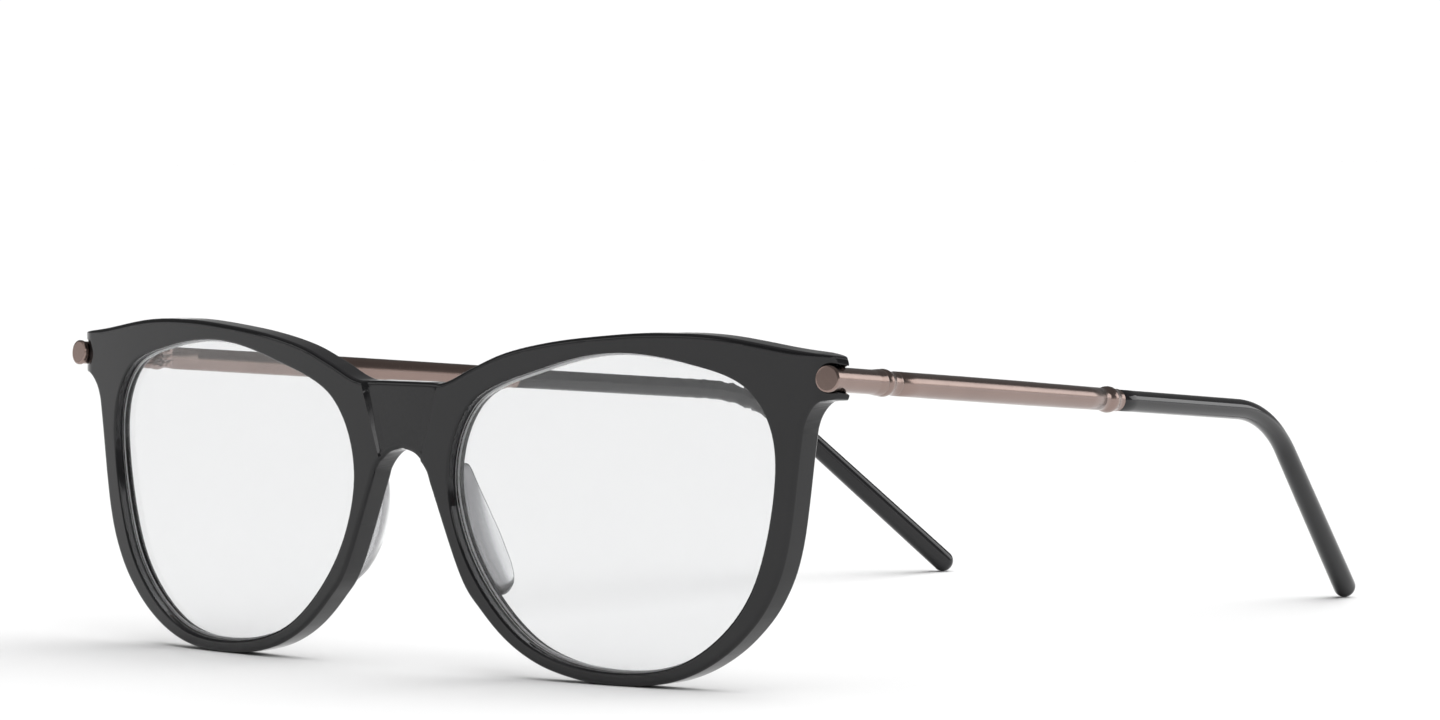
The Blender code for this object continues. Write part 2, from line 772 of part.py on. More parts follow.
def tip_centre_line():
    """Points with directions from the tip's front, round the ear bend, to its end."""
    corner = CAP_FACE + TEMPLE_AXIS * EAR_DISTANCE
    angle = TEMPLE_AXIS.angle(TIP_AXIS)
    cut_back = EAR_BEND_RADIUS * math.tan(angle / 2)
    leg = (corner.z - TIP_RADIUS_END) / -TIP_AXIS.z
    line = [(CAP_FACE + TEMPLE_AXIS * TIP_AT, TEMPLE_AXIS)]
    start = corner - TEMPLE_AXIS * cut_back
    line.append(((line[0][0] + start) / 2, TEMPLE_AXIS))
    bend_axis = TEMPLE_AXIS.cross(TIP_AXIS).normalized()
    inward = bend_axis.cross(TEMPLE_AXIS)
    centre = start + inward * EAR_BEND_RADIUS
    steps = 7
    for step in range(steps + 1):
        turn = Matrix.Rotation(angle * step / steps, 3, bend_axis)
        line.append((centre + turn @ (start - centre), turn @ TEMPLE_AXIS))
    for share in (0.45, 0.75, 0.93, 1.0):
        along = cut_back + (leg - cut_back) * share
        line.append((corner + TIP_AXIS * along, TIP_AXIS))
    return line


def sweep_rings(line, radii, sides=ROUND_SIDES):
    """A ring about each point of the line, square to its direction."""
    rings = []
    for (point, along), radius in zip(line, radii):
        across = OUTWARD - along * OUTWARD.dot(along)
        across.normalize()
        up = across.cross(along)
        ring = []
        for side in range(sides):
            angle = math.tau * side / sides
            ring.append(point + (across * math.cos(angle) + up * math.sin(angle)) * radius)
        rings.append(ring)
    return rings


def make_tip(acetate):
    """The moulded ear tip, with a blind bore for the core wire."""
    line = tip_centre_line()
    count = len(line)
    radii = []
    for i in range(count):
        share = i / (count - 1)
        if share < 0.6:
            radii.append(TIP_RADIUS_FRONT + (TIP_RADIUS_BEND - TIP_RADIUS_FRONT) * share / 0.6)
        else:
            swell = (share - 0.6) / 0.4
            radii.append(TIP_RADIUS_BEND + (TIP_RADIUS_END - TIP_RADIUS_BEND) * swell)
    end, along = line[-1]
    rounded = []
    rounded_radii = []
    for step in range(1, 5):
        angle = math.radians(20 * step)
        rounded.append((end + along * TIP_RADIUS_END * math.sin(angle), along))
        rounded_radii.append(TIP_RADIUS_END * math.cos(angle))
    outside = sweep_rings(line + rounded, radii + rounded_radii)
    bore_line = line[:-2]
    bore = sweep_rings(bore_line, [CORE_WIRE_RADIUS + RUNNING_CLEARANCE] * len(bore_line))
    tip = make_loft("temple_tip_left", outside, acetate)
    bm = bmesh.new()
    bm.from_mesh(tip.data)
    first = min(bm.faces, key=lambda f: (f.calc_center_median() - line[0][0]).length)
    bmesh.ops.delete(bm, geom=[first], context="FACES_ONLY")
    loops = [[bm.verts.new(p) for p in ring] for ring in bore]
    start_ring = []
    for point in outside[0]:
        start_ring.append(min(bm.verts, key=lambda v: (v.co - point).length))
    loops.insert(0, start_ring)
    for inner, outer in zip(loops, loops[1:]):
        for i in range(ROUND_SIDES):
            k = (i + 1) % ROUND_SIDES
            bm.faces.new((inner[i], inner[k], outer[k], outer[i]))
    bm.faces.new(loops[-1])
    bmesh.ops.recalc_face_normals(bm, faces=bm.faces)
    bm.to_mesh(tip.data)
    bm.free()
    tip.data.set_sharp_from_angle(angle=math.radians(35))
    return tip


def make_core_wire(metal):
    """A wire inside the tip, with a thicker plug that holds it in the tube."""
    line = tip_centre_line()[:-2]
    end, along = line[-1]
    line[-1] = (end - along * 0.0008, along)
    plug_start = REAR_BEAD_AT - 0.0090
    plug_end = REAR_BEAD_AT - 0.0006
    front = []
    radii = []
    for distance, radius in (
        (plug_start, CORE_PLUG_RADIUS),
        (plug_end, CORE_PLUG_RADIUS),
        (plug_end + 0.0002, CORE_WIRE_RADIUS),
    ):
        front.append((CAP_FACE + TEMPLE_AXIS * distance, TEMPLE_AXIS))
        radii.append(radius)
    radii += [CORE_WIRE_RADIUS] * len(line)
    return make_loft("core_wire_left", sweep_rings(front + line, radii, WIRE_SIDES), metal)


# ---- Assembly ----


def place_on_floor(objects):
    """Moves every mesh so that the box's bottom centre is the origin."""
    points = [vert.co for obj in objects for vert in obj.data.vertices]
    low = [min(p[i] for p in points) for i in range(3)]
    high = [max(p[i] for p in points) for i in range(3)]
    shift = Vector((-(low[0] + high[0]) / 2, -(low[1] + high[1]) / 2, -low[2]))
    for obj in objects:
        obj.data.transform(Matrix.Translation(shift))
    return shift


def hang_on_axis(objects, name, place):
    """Parents a temple's pieces to an empty on its hinge axis."""
    empty = bpy.data.objects.new(name, None)
    empty.location = place
    empty.empty_display_size = 0.005
    bpy.context.scene.collection.objects.link(empty)
    for obj in objects:
        obj.parent = empty
        obj.matrix_parent_inverse = Matrix.Translation(-place)


def main():
    for obj in list(bpy.data.objects):
        bpy.data.objects.remove(obj)
    black = make_material("black_acetate", (0.012, 0.012, 0.014), 0.16, 0.0)
    bronze = make_material("bronze_metal", (0.27, 0.19, 0.165), 0.28, 1.0)
    steel = make_material("screw_steel", (0.55, 0.53, 0.50), 0.30, 1.0)
    glass = make_material("clear_lens", (0.95, 0.96, 0.97), 0.02, 0.0, 0.95)
    crystal = make_material("crystal_pad", (0.93, 0.94, 0.95), 0.08, 0.0, 0.9)
    front = make_front(black)
    fixed = [
        make_lens(glass),
        make_nose_pad(crystal),
        make_cap(bronze),
        make_barrel(bronze),
        make_front_hinge(bronze),
        *make_anchor_screws(steel),
        make_hinge_screw(steel),
    ]
    moving = [
        make_temple_hinge(bronze),
        make_spigot(steel),
        make_front_bead(bronze),
        make_tube(bronze),
        make_rear_bead(bronze),
        make_core_wire(steel),
        make_tip(black),
    ]
    fixed_right = [mirror_copy(o, o.name.replace("_left", "_right")) for o in fixed]
    moving_right = [mirror_copy(o, o.name.replace("_left", "_right")) for o in moving]
    shift = place_on_floor([front, *fixed, *fixed_right, *moving, *moving_right])
    left_axis = HINGE + shift
    hang_on_axis(moving, "temple_left_axis", left_axis)
    right_axis = Vector((-HINGE.x, HINGE.y, HINGE.z)) + shift
    hang_on_axis(moving_right, "temple_right_axis", right_axis)
    print("hinge axes at", tuple(left_axis), "and", tuple(right_axis))


main()
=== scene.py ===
import math

import bmesh
import bpy
from mathutils import Matrix, Vector


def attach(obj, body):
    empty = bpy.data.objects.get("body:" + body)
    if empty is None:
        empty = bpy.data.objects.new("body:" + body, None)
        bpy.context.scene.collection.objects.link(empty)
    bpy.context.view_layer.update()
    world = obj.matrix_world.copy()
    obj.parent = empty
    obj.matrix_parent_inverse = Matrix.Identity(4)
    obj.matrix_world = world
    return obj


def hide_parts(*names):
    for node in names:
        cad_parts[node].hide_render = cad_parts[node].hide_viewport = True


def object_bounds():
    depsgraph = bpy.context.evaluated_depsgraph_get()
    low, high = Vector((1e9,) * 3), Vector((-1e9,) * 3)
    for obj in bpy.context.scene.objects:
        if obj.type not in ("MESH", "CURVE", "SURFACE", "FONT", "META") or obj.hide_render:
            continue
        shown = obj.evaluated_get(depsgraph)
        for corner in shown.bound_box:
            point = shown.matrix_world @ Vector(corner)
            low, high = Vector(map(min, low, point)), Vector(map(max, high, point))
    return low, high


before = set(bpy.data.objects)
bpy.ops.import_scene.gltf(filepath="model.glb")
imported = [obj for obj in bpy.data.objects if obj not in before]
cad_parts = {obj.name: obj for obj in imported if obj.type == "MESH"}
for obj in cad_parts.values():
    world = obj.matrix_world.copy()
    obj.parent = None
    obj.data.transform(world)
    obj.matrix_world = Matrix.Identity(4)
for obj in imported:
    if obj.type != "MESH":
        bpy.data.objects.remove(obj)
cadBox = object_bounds()
print("frame loaded")

# every length is in metres; the front is drawn flat, then laid on its cylinder and set in place
placing = dict(shift=(0, -0.070616, 0.000041), barrelX=0.066, faceRadius=0.344)
temple = dict(turnedIn=9.7, slope=4.9, tipTurnedIn=16.9, tipSlope=39.2)  # degrees


def deselectAll():
    if bpy.context.mode != "OBJECT":
        bpy.ops.object.mode_set(mode="OBJECT")
    bpy.ops.object.select_all(action="DESELECT")


def makeActive(obj):
    deselectAll()
    obj.select_set(True)
    bpy.context.view_layer.objects.active = obj


def editAll(obj):
    makeActive(obj)
    bpy.ops.object.mode_set(mode="EDIT")
    bpy.ops.mesh.select_all(action="SELECT")


def leaveEdit():
    bpy.ops.object.mode_set(mode="OBJECT")


def faceDepth(x):
    # how far back the curved front lies at this distance from the middle
    return (x * x - placing["barrelX"] ** 2) / (2 * placing["faceRadius"])


def layOnFace(obj):
    shift = Vector(placing["shift"])
    for v in obj.data.vertices:
        v.co.y += faceDepth(v.co.x)
        v.co += shift


def smoothShade(obj, angle=38, weighted=False):
    makeActive(obj)
    bpy.ops.object.shade_smooth_by_angle(angle=math.radians(angle))
    if weighted:
        bpy.ops.object.modifier_add(type="WEIGHTED_NORMAL")
        obj.modifiers[-1].keep_sharp = True
        bpy.ops.object.modifier_apply(modifier=obj.modifiers[-1].name)


def mirrored(obj, name):
    # the other side's piece, with its own mesh
    mesh = obj.data.copy()
    mesh.name = name
    mesh.transform(Matrix.Diagonal((-1, 1, 1, 1)))
    mesh.flip_normals()
    copy = bpy.data.objects.new(name, mesh)
    bpy.context.scene.collection.objects.link(copy)
    return copy


def finish(obj, body, slot, material, *nodes):
    low, high = cadBox  # trims what passes the plain model's box, which is up to 0.03 mm here
    for v in obj.data.vertices:
        v.co = [min(max(c, least), most) for c, least, most in zip(v.co, low, high)]
    obj.data.materials.clear()
    obj.data.materials.append(material)
    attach(obj, body)
    if nodes:
        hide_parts(*nodes)


# materials

def startMaterial(name, colour, roughness, metallic=0.0):
    material = bpy.data.materials.new(name)
    material.use_nodes = True
    shader = material.node_tree.nodes["Principled BSDF"]
    shader.inputs["Base Color"].default_value = (*colour, 1)
    shader.inputs["Roughness"].default_value = roughness
    shader.inputs["Metallic"].default_value = metallic
    return material, shader


def addNode(material, kind, **values):
    node = material.node_tree.nodes.new(kind)
    for key, value in values.items():
        if key in node.inputs.keys():
            node.inputs[key].default_value = value
        else:
            setattr(node, key, value)
    return node


def link(material, source, target):
    material.node_tree.links.new(source, target)


def noiseOn(material, scale, detail=3.0, stretch=(1, 1, 1), rough=0.55):
    place = addNode(material, "ShaderNodeTexCoord")
    turn = addNode(material, "ShaderNodeMapping")
    turn.inputs["Scale"].default_value = stretch
    noise = addNode(material, "ShaderNodeTexNoise")
    noise.inputs["Scale"].default_value = scale
    noise.inputs["Detail"].default_value = detail
    noise.inputs["Roughness"].default_value = rough
    link(material, place.outputs["Object"], turn.inputs["Vector"])
    link(material, turn.outputs["Vector"], noise.inputs["Vector"])
    return noise.outputs["Fac"]


def rampOn(material, source, stops):
    ramp = addNode(material, "ShaderNodeValToRGB")
    marks = ramp.color_ramp.elements
    while len(marks) < len(stops):
        marks.new(0.5)
    for mark, (place, colour) in zip(marks, stops):
        mark.position = place
        mark.color = (*colour, 1) if len(colour) == 3 else colour
    link(material, source, ramp.inputs["Fac"])
    return ramp.outputs["Color"]


def rangeOn(material, source, low, high, start=0.3, end=0.7):
    node = addNode(material, "ShaderNodeMapRange")
    node.inputs["From Min"].default_value = start
    node.inputs["From Max"].default_value = end
    node.inputs["To Min"].default_value = low
    node.inputs["To Max"].default_value = high
    link(material, source, node.inputs["Value"])
    return node.outputs["Result"]


def addOf(material, first, second):
    node = addNode(material, "ShaderNodeMath", operation="ADD")
    link(material, first, node.inputs[0])
    link(material, second, node.inputs[1])
    return node.outputs["Value"]


def bumpOn(material, shader, source, strength, distance):
    bump = addNode(material, "ShaderNodeBump")
    bump.inputs["Strength"].default_value = strength
    bump.inputs["Distance"].default_value = distance
    link(material, source, bump.inputs["Height"])
    link(material, bump.outputs["Normal"], shader.inputs["Normal"])


def makeBlackAcetate():
    look = dict(dark=(0.0050, 0.0050, 0.0058), pale=(0.0085, 0.0082, 0.0090), gloss=0.085)
    material, shader = startMaterial("polishedBlackAcetate", look["dark"], look["gloss"])
    cloud = noiseOn(material, 55, 4)
    link(material, rampOn(material, cloud, [(0.35, look["dark"]), (0.7, look["pale"])]),
         shader.inputs["Base Color"])
    polish = noiseOn(material, 1500, 3, (1, 0.15, 1))  # faint lines from the polishing wheel
    smear = noiseOn(material, 120, 5)  # touch marks
    link(material, addOf(material, rangeOn(material, polish, 0.05, 0.09),
                         rangeOn(material, smear, 0.0, 0.07, 0.5, 0.75)), shader.inputs["Roughness"])
    bumpOn(material, shader, noiseOn(material, 420, 2), 0.05, 0.00005)
    shader.inputs["IOR"].default_value = 1.45
    return material


def makeBronzeMetal():
    look = dict(deep=(0.275, 0.203, 0.180), warm=(0.305, 0.226, 0.200), paintedEdgeHighlight=(0.46, 0.36, 0.32))
    material, shader = startMaterial("bronzeBrownMetal", look["warm"], 0.3, 1.0)
    cloud = noiseOn(material, 160, 4)
    colour = rampOn(material, cloud, [(0.3, look["deep"]), (0.72, look["warm"])])
    # painted highlight: sharp convex edges, found by pointiness, get a pale bronze that stands in for the
    # light the edges catch
    edge = addNode(material, "ShaderNodeNewGeometry")
    paintedEdgeMask = rampOn(material, edge.outputs["Pointiness"], [(0.54, (0, 0, 0)), (0.66, (1, 1, 1))])
    mix = addNode(material, "ShaderNodeMix", data_type="RGBA")
    mix.inputs[7].default_value = (*look["paintedEdgeHighlight"], 1)
    link(material, paintedEdgeMask, mix.inputs[0])
    link(material, colour, mix.inputs[6])
    link(material, mix.outputs[2], shader.inputs["Base Color"])
    grain = noiseOn(material, 2600, 2, (1, 0.05, 1))  # fine brushing along the tube
    spots = noiseOn(material, 300, 4)
    link(material, addOf(material, rangeOn(material, grain, 0.18, 0.205),
                         rangeOn(material, spots, 0.0, 0.03)), shader.inputs["Roughness"])
    bumpOn(material, shader, spots, 0.01, 0.00002)
    return material


def makeScrewSteel():
    look = dict(dark=(0.42, 0.41, 0.40), pale=(0.60, 0.59, 0.57))
    material, shader = startMaterial("plainScrewSteel", look["pale"], 0.3, 1.0)
    cloud = noiseOn(material, 900, 4)
    link(material, rampOn(material, cloud, [(0.3, look["dark"]), (0.7, look["pale"])]),
         shader.inputs["Base Color"])
    turned = noiseOn(material, 6000, 3, (1, 1, 0.1))
    link(material, rangeOn(material, turned, 0.18, 0.38), shader.inputs["Roughness"])
    bumpOn(material, shader, turned, 0.08, 0.00002)
    return material


def makeClearLens():
    material, shader = startMaterial("coatedLens", (0.80, 0.805, 0.81), 0.0)
    shader.inputs["Transmission Weight"].default_value = 1.0
    shader.inputs["IOR"].default_value = 1.5
    haze = noiseOn(material, 90, 5)
    link(material, rangeOn(material, haze, 0.0, 0.012, 0.5, 0.8), shader.inputs["Roughness"])
    return material


def makeLensEdge():
    # the bevel, with a rougher ground finish; its paler, less clear colour is a painted highlight where the
    # edge catches light
    material, shader = startMaterial("paintedHighlightLensEdge", (0.90, 0.90, 0.91), 0.35)
    shader.inputs["Transmission Weight"].default_value = 0.3
    ground = noiseOn(material, 2500, 3)
    link(material, rangeOn(material, ground, 0.30, 0.42), shader.inputs["Roughness"])
    bumpOn(material, shader, ground, 0.05, 0.00001)
    return material


def makeCrystalPad():
    # smoky where it joins the rim, clear at the free edge
    look = dict(root=(0.30, 0.30, 0.31), free=(0.94, 0.95, 0.96), rootY=-0.0712, freeY=-0.0700)
    material, shader = startMaterial("crystalPadPlastic", look["free"], 0.05)
    place = addNode(material, "ShaderNodeTexCoord")
    split = addNode(material, "ShaderNodeSeparateXYZ")
    link(material, place.outputs["Object"], split.inputs["Vector"])
    depth = rangeOn(material, split.outputs["Y"], 0.0, 1.0, look["rootY"], look["freeY"])
    tint = rampOn(material, depth, [(0.0, look["root"]), (1.0, look["free"])])
    link(material, tint, shader.inputs["Base Color"])
    shader.inputs["Transmission Weight"].default_value = 1.0
    shader.inputs["IOR"].default_value = 1.47
    haze = noiseOn(material, 300, 4)
    link(material, rangeOn(material, haze, 0.03, 0.10), shader.inputs["Roughness"])
    bumpOn(material, shader, noiseOn(material, 250, 2), 0.08, 0.0001)
    return material


blackAcetate = makeBlackAcetate()
bronzeMetal = makeBronzeMetal()
screwSteel = makeScrewSteel()
clearLens = makeClearLens()
lensEdge = makeLensEdge()
crystalPad = makeCrystalPad()
print("materials made")


# outlines, in X and Z

eye = dict(
    width=0.0498,
    height=0.0390,
    gap=0.0168,
    side=0.0031,  # the rim's width at the outer side, the nose and the bottom
    nose=0.0024,
    bottom=0.0016,
    shape=(  # shares of half the width and height, counterclockwise
        (1.00, 0.34), (0.86, 0.78), (0.49, 0.95), (0.05, 1.00), (-0.39, 0.89), (-0.84, 0.66),
        (-1.00, 0.18), (-0.86, -0.39), (-0.49, -0.85), (0.00, -1.00), (0.49, -0.90), (0.86, -0.45),
    ),
)
eyeX = eye["gap"] / 2 + eye["width"] / 2
eyeZ = eye["bottom"] + eye["height"] / 2
eyeTop = eyeZ + eye["height"] / 2

end = dict(barrelUp=0.0171, over=0.0027, under=0.0026, past=0.0002, notch=0.00176)
barrelZ = eyeZ + end["barrelUp"]
endX = placing["barrelX"] + end["past"]

brow = (  # share of the lens's half width, and height over the opening's top
    (1.07, 0.0010), (0.67, 0.0024), (0.30, 0.0026), (-0.05, 0.0020),
    (-0.35, 0.0011), (-0.62, -0.0003), (-0.84, -0.0023),
)
bridge = dict(below=0.0043, height=0.0084, halfLow=0.0028, halfHigh=0.0075, deepLow=0.00015, deepHigh=0.00075,
              wallLow=0.0001, wallHigh=0.00065)


def curvePoint(before, start, stop, after, t):
    a = 2 * start
    b = (stop - before) * t
    c = (2 * before - 5 * start + 4 * stop - after) * t * t
    d = (3 * start - before - 3 * stop + after) * t**3
    return 0.5 * (a + b + c + d)


def smoothLoop(points, steps):
    count = len(points)
    curve = []
    for i in range(count):
        four = [points[(i + k) % count] for k in (-1, 0, 1, 2)]
        curve += [curvePoint(*four, step / steps) for step in range(steps)]
    return curve


def smoothRun(points, steps):
    ends = [2 * points[0] - points[1], *points, 2 * points[-1] - points[-2]]
    curve = []
    for i in range(len(points) - 1):
        curve += [curvePoint(*ends[i : i + 4], step / steps) for step in range(steps)]
    return [*curve, points[-1]]


def outwardNormals(loop):
    normals = []
    for i in range(len(loop)):
        along = loop[(i + 1) % len(loop)] - loop[i - 1]
        normals.append(Vector((along.y, -along.x)).normalized())
    return normals


def eyeOutline(steps, grow=0.0):
    points = [Vector((eyeX + u * eye["width"] / 2, eyeZ + v * eye["height"] / 2)) for u, v in eye["shape"]]
    loop = smoothLoop(points, steps)
    return [p + n * grow for p, n in zip(loop, outwardNormals(loop))]


def rimOutline(steps):
    loop = eyeOutline(steps)
    outline = []
    for point, normal in zip(loop, outwardNormals(loop)):
        across = eye["side"] if normal.x > 0 else eye["nose"]
        outline.append(point + normal * (across * normal.x**2 + eye["bottom"] * normal.y**2))
    return outline


def frontOutline():
    # one half from the bridge's underside round to its top, then the other half
    bridgeTop = eyeTop - bridge["below"]
    bridgeUnder = bridgeTop - bridge["height"]
    noseX = eye["gap"] / 2 - eye["nose"]
    sideX = eye["gap"] / 2 + eye["width"] + eye["side"]
    top, under = barrelZ + end["over"], barrelZ - end["under"]
    arch = [(0, 0), (0.40, -0.0007), (0.73, -0.0026), (0.91, -0.0051)]
    arch = [Vector((share * noseX, bridgeUnder + drop)) for share, drop in arch]
    lower = [p for p in rimOutline(5)[35::2] if p.y < arch[-1].y - 0.001]
    sweep = [
        Vector((sideX + 0.0003, under - 0.0060)),
        Vector((sideX + 0.0008, under - 0.0032)),
        Vector((sideX + 0.0017, under - 0.0014)),
        Vector((endX - 0.0020, under - 0.0003)),
        Vector((endX - 0.0006, under)),
    ]
    lower = [p for p in lower if p.x < eyeX or p.y < sweep[0].y - 0.0015]
    prong = [Vector((endX - 0.0001, under + 0.00022)), Vector((endX, barrelZ - end["notch"] - 0.0002))]
    notch = []
    for step in range(9):
        angle = math.radians(-76 - 26 * step)
        reach = Vector((math.cos(angle), math.sin(angle))) * end["notch"]
        notch.append(Vector((placing["barrelX"], barrelZ)) + reach)
    notch = [Vector((endX, p.y)) if p.x > endX else p for p in notch]
    tip = [Vector((endX, barrelZ + end["notch"] + 0.0002)), Vector((endX - 0.0001, top - 0.0004))]
    over = [Vector((endX - 0.0006, top))]
    over += [Vector((eyeX + u * eye["width"] / 2, eyeTop + up)) for u, up in brow]
    middle = ((0.92, 0.0001), (0.46, 0), (0, 0))
    over += [Vector((share * eye["gap"] / 2, bridgeTop + up)) for share, up in middle]
    half = smoothRun([*arch, *lower, *sweep, *prong], 8)
    half += smoothRun(notch, 5)
    half += smoothRun([*tip, *over], 8)
    return half + [Vector((-p.x, p.y)) for p in reversed(half[1:-1])]


def roundedPlate(name, loops, depth, profile):
    # loops are (points, side, rounding) with side -1 for an outer edge and 1 for a hole;
    # profile gives the rounding's steps as shares of its depth and its inset
    verts, edges, facts = [], [], []
    for points, side, rounding in loops:
        first = len(verts)
        for point, normal in zip(points, outwardNormals(points)):
            size = rounding(point)
            facts.append((point.x, point.y, normal.x * side * size, normal.y * side * size, size))
            verts.append((point.x, depth, point.y))
        edges += [(first + i, first + (i + 1) % len(points)) for i in range(len(points))]
    mesh = bpy.data.meshes.new(name)
    mesh.from_pydata(verts, edges, [])
    for k, key in enumerate(("baseX", "baseZ", "pushX", "pushZ", "size")):
        layer = mesh.attributes.new(key, "FLOAT", "POINT")
        layer.data.foreach_set("value", [fact[k] for fact in facts])
    obj = bpy.data.objects.new(name, mesh)
    bpy.context.scene.collection.objects.link(obj)
    editAll(obj)
    bpy.ops.mesh.fill(use_beauty=True)
    ring = [(0, 1.5)]  # a flat ring keeps the rounding's shading off the face
    steps = [("back", *step) for step in ring + profile]
    steps += [("front", *step) for step in profile[::-1] + ring]
    for number, (where, deep, inset) in enumerate(steps):
        if number:
            bpy.ops.mesh.extrude_region_move()
        bm = bmesh.from_edit_mesh(mesh)
        read = {key: bm.verts.layers.float[key] for key in ("baseX", "baseZ", "pushX", "pushZ", "size")}
        for v in bm.verts:
            if v.select:
                y = v[read["size"]] * deep
                v.co = (
                    v[read["baseX"]] + v[read["pushX"]] * inset,
                    depth - y if where == "back" else y,
                    v[read["baseZ"]] + v[read["pushZ"]] * inset,
                )
        bmesh.update_edit_mesh(mesh)
    bpy.ops.mesh.select_all(action="SELECT")
    bpy.ops.mesh.normals_make_consistent(inside=False)
    leaveEdit()
    for key in ("baseX", "baseZ", "pushX", "pushZ", "size"):
        mesh.attributes.remove(mesh.attributes[key])
    return obj


def cutStrips(obj, planes):
    editAll(obj)
    for place, normal in planes:
        bpy.ops.mesh.select_all(action="SELECT")
        bpy.ops.mesh.bisect(plane_co=place, plane_no=normal, threshold=0.000001)
    leaveEdit()


def quarterRound(count):
    turns = [math.pi / 2 * k / count for k in range(count + 1)]
    return [(1 - math.cos(turn), 1 - math.sin(turn)) for turn in turns]


# the front

front = dict(
    depth=0.0036, edge=0.00050, hole=0.00032, prong=0.00026,  # depth, then the roundings
    nearNotch=0.0027, blend=0.003,  # the edge's rounding grows over the blend
    endFlat=0.0636, endDrop=0.0010, backDrop=0.0013,  # the ends fall away past endFlat
    leanReach=0.0036, leanBlend=0.0016,  # the notch leans with the tube, less toward its reach
    strip=0.0015, endStrip=0.00026,  # cut lines that let the face bend
)


def bridgeAt(z, low, high):
    # a size of the set-back part of the bridge at this height
    bottom = eyeTop - bridge["below"] - bridge["height"] - 0.004
    top = eyeTop - bridge["below"] + 0.002
    return low + (high - low) * (z - bottom) / (top - bottom)


def bridgeHalf(z):
    return bridgeAt(z, bridge["halfLow"], bridge["halfHigh"])


def bridgeWall(z):
    return bridgeAt(z, bridge["wallLow"], bridge["wallHigh"])


def edgeRounding(point):
    near = (Vector((abs(point.x), point.y)) - Vector((placing["barrelX"], barrelZ))).length
    if near < front["nearNotch"]:
        return front["prong"] * max(0.35, min(1.0, (endX + 0.0001 - abs(point.x)) / 0.0012))
    grown = min(1, (near - front["nearNotch"]) / front["blend"])
    return front["prong"] + (front["edge"] - front["prong"]) * grown


def makeFront():
    loops = [(frontOutline(), -1, edgeRounding)]
    for side in (1, -1):
        hole = eyeOutline(12)
        if side < 0:
            hole = [Vector((-p.x, p.y)) for p in reversed(hole)]
        loops.append((hole, 1, lambda point: front["hole"]))
    obj = roundedPlate("moulded_front", loops, front["depth"], quarterRound(5))
    planes = [((x * front["strip"], 0, 0), (1, 0, 0)) for x in range(-44, 45)]
    planes += [((0, 0, z * front["strip"]), (0, 0, 1)) for z in range(1, 29)]
    for side in (1, -1):
        ends = [side * (front["endFlat"] + k * front["endStrip"]) for k in range(10)]
        planes += [((x, 0, 0), (1, 0, 0)) for x in ends]
        lowZ, highZ = 0.024, 0.038
        for inset in (0, 1):
            lowX, highX = (bridgeHalf(z) - inset * bridgeWall(z) for z in (lowZ, highZ))
            planes.append(((side * lowX, 0, lowZ), (side * (highZ - lowZ), 0, lowX - highX)))
    cutStrips(obj, planes)
    lean = [-math.tan(math.radians(temple[key])) for key in ("turnedIn", "slope")]
    depth = front["depth"]
    for v in obj.data.vertices:
        x, y, z = v.co
        share = max(0.0, min(1.0, (depth / 2 - y) / (depth / 2)))
        inside = max(0.0, min(1.0, (bridgeHalf(z) - abs(x)) / max(0.0001, bridgeWall(z))))
        setBack = inside * max(0.0, bridgeAt(z, bridge["deepLow"], bridge["deepHigh"])) if z > 0.024 else 0.0
        past = max(0.0, abs(x) - front["endFlat"]) / (endX - front["endFlat"])
        near = math.hypot(abs(x) - placing["barrelX"], z - barrelZ)
        hold = max(0.0, min(1.0, (front["leanReach"] - near) / front["leanBlend"]))
        behind = max(0.0, 2 * y / depth - 1)
        v.co.y += share * (setBack + front["endDrop"] * past * past) - behind * front["backDrop"] * past**3
        v.co.x += math.copysign(lean[0] * y * hold, x)
        v.co.z += lean[1] * y * hold
        v.co.z = max(v.co.z, 0.00001)
    layOnFace(obj)
    smoothShade(obj, 36, weighted=True)
    return obj


finish(makeFront(), "front", "black_acetate", blackAcetate, "front_frame")
print("front made")


# lenses

lens = dict(
    thick=0.0012, seat=0.00012, bevel=0.00036, bevelDeep=0.60,
    strip=0.002, firstStrip=0.0075,
    edgeFacing=0.93,  # faces turned further from the front than this are edge, and get the painted-highlight edge material
)


def makeLens():
    size = lens["bevel"]
    loops = [(eyeOutline(12, lens["seat"]), -1, lambda point: size)]
    profile = [(0, 1), (lens["bevelDeep"], 0)]
    obj = roundedPlate("clear_lens_left", loops, lens["thick"], profile)
    planes = [((lens["firstStrip"] + x * lens["strip"], 0, 0), (1, 0, 0)) for x in range(0, 27)]
    cutStrips(obj, planes + [((0, 0, z * lens["strip"]), (0, 0, 1)) for z in range(1, 22)])
    obj.data.transform(Matrix.Translation((0, (front["depth"] - lens["thick"]) / 2, 0)))
    layOnFace(obj)
    return obj


lensLeft = makeLens()
lensRight = mirrored(lensLeft, "clear_lens_right")
for obj, side in ((lensLeft, "left"), (lensRight, "right")):
    smoothShade(obj, 20, weighted=True)
    finish(obj, "front", "clear_lens", clearLens, f"lens_{side}")
    # the edge faces get the paler material, a painted highlight along the bevel
    obj.data.materials.append(lensEdge)
    for face in obj.data.polygons:
        if abs(face.normal.y) < lens["edgeFacing"]:
            face.material_index = 1
print("lenses made")


# nose pads, smoothed from a copy of the plain ones

pad = dict(intoRim=0.00045, smoothing=2)


